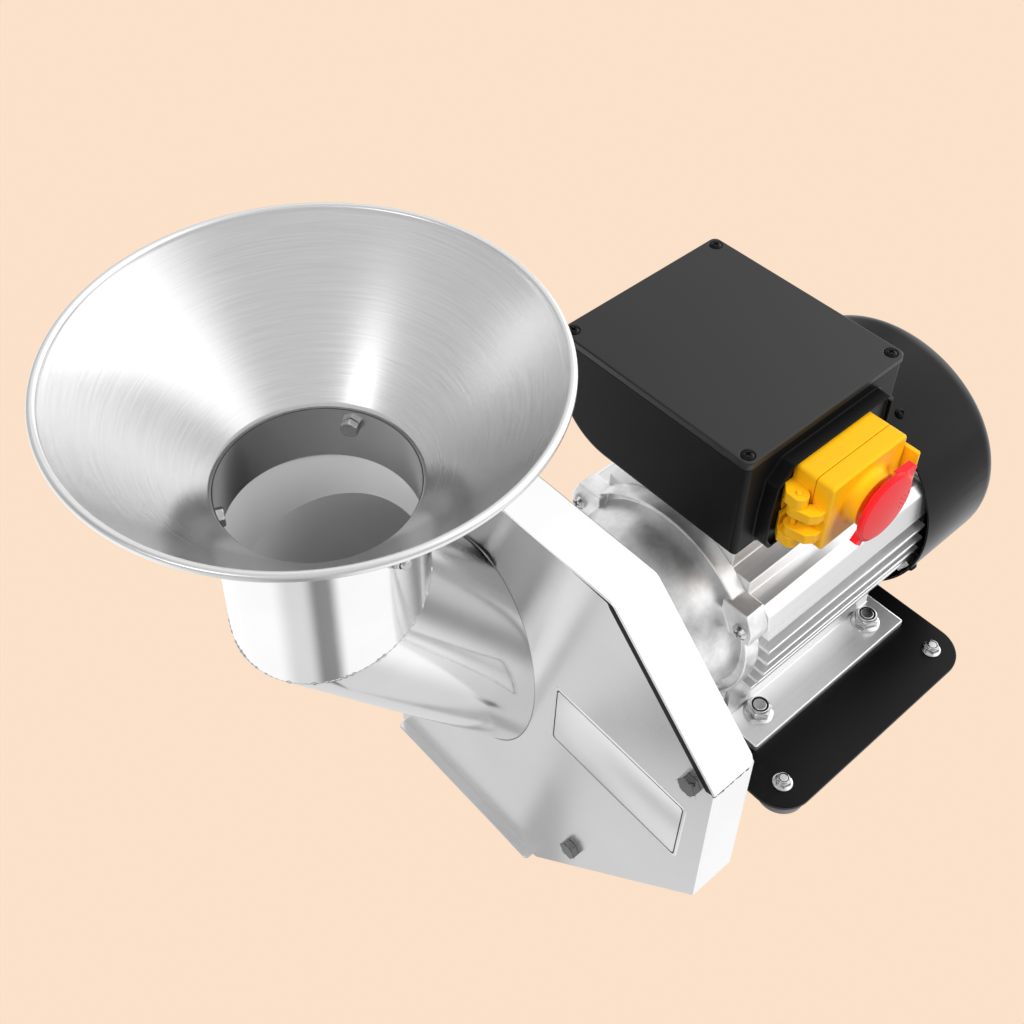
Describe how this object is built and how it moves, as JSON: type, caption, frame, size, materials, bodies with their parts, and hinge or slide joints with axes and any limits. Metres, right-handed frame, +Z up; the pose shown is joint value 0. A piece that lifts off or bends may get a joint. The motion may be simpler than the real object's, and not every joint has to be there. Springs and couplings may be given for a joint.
{
  "type": "electric fruit crusher",
  "caption": "Electric fruit crusher: a flared steel hopper and an elbowed tube feed a thin chamber with a cutter disc, driven by a finned foot-mounted motor with a switch box.",
  "frame": {"origin": "on the plane that the rubber feet stand on, below the middle of the motor's four foot bolts", "axes": "+Y along the motor shaft from the chamber to the fan, +X towards the switch, +Z up"},
  "size_m": [0.2783, 0.5092, 0.4256],
  "materials": {
    "stainless": "brushed stainless steel",
    "polished_stainless": "polished stainless steel tube",
    "sheet_steel": "satin stainless sheet",
    "bright_sheet": "bright bead-blasted sheet",
    "cast_aluminium": "as cast, tumbled",
    "extruded_aluminium": "satin extruded",
    "zinc_steel": "bright zinc plated",
    "dark_steel": "ground steel",
    "core_steel": "laminated electrical steel, varnished",
    "copper_winding": "varnished copper winding",
    "black_paint": "black powder coat",
    "black_plastic": "moulded, fine grain",
    "yellow_plastic": "moulded, semi-gloss",
    "red_plastic": "moulded, semi-gloss",
    "green_plastic": "moulded, semi-gloss",
    "grey_plastic": "aluminium can with a plastic top",
    "foot_rubber": "moulded grey rubber"
  },
  "bodies": {
    "root": {"base_plate": "black_paint", "rubber_feet": "foot_rubber", "foot_screws": "zinc_steel", "foot_nuts": "zinc_steel", "motor_bolts": "zinc_steel", "motor_nuts": "zinc_steel", "motor_frame": "extruded_aluminium", "front_bell": "cast_aluminium", "rear_bell": "cast_aluminium", "front_bearing": "dark_steel", "rear_bearing": "dark_steel", "shaft_seal": "foot_rubber", "stator_core": "core_steel", "stator_windings": "copper_winding", "tie_screws": "zinc_steel", "fan_cowl": "black_paint", "cowl_screws": "black_paint", "rear_housing": "sheet_steel", "front_plate": "sheet_steel", "roof_band": "bright_sheet", "plate_posts": "zinc_steel", "plate_bolts": "zinc_steel", "flange_screws": "zinc_steel", "inlet_tube": "polished_stainless", "feed_tube": "polished_stainless", "elbow_weld": "polished_stainless", "hopper_cone": "stainless", "hopper_spigot": "stainless", "hopper_bolts": "zinc_steel", "hopper_nuts": "zinc_steel", "switch_box": "black_plastic", "box_lid": "black_plastic", "lid_screws": "black_paint", "run_capacitor": "grey_plastic", "terminal_block": "grey_plastic", "cable_gland": "black_plastic", "switch_base": "yellow_plastic", "switch_core": "black_plastic", "hinge_pin": "yellow_plastic"},
    "rotor": {"motor_shaft": "dark_steel", "rotor_core": "core_steel", "cutter_disc": "stainless", "cutter_blades": "stainless", "blade_screws": "zinc_steel", "disc_nut": "zinc_steel", "cooling_fan": "black_plastic"},
    "cover": {"flip_cover": "yellow_plastic"},
    "stop": {"stop_mushroom": "red_plastic"},
    "catch": {"cover_catch": "yellow_plastic"},
    "start": {"start_button": "green_plastic"},
    "off": {"off_button": "red_plastic"}
  },
  "joints": [
    {"name": "rotor_spin", "type": "hinge", "parent": "root", "child": "rotor", "pos_m": [0, 0, 0.091], "axis": [0, 1, 0], "continuous": true},
    {"name": "cover_swing", "type": "hinge", "parent": "root", "child": "cover", "pos_m": [0.0665, -0.0663, 0.20875], "axis": [0, 0, -1], "range_deg": [0, 110]},
    {"name": "stop_press", "type": "slide", "parent": "cover", "child": "stop", "axis": [-1, 0, 0], "range_m": [0, 0.0035], "stiffness_N_per_m": 600},
    {"name": "off_press", "type": "slide", "parent": "root", "child": "off", "axis": [-1, 0, 0], "range_m": [0, 0.0035], "stiffness_N_per_m": 600},
    {"name": "start_press", "type": "slide", "parent": "root", "child": "start", "axis": [-1, 0, 0], "range_m": [0, 0.0028], "stiffness_N_per_m": 600},
    {"name": "catch_slide", "type": "slide", "parent": "cover", "child": "catch", "axis": [0, 1, 0], "range_m": [0, 0.003], "stiffness_N_per_m": 600}
  ],
  "couplings": [
    {"joint": "off_press", "follows": "stop_press", "ratio": 1}
  ]
}
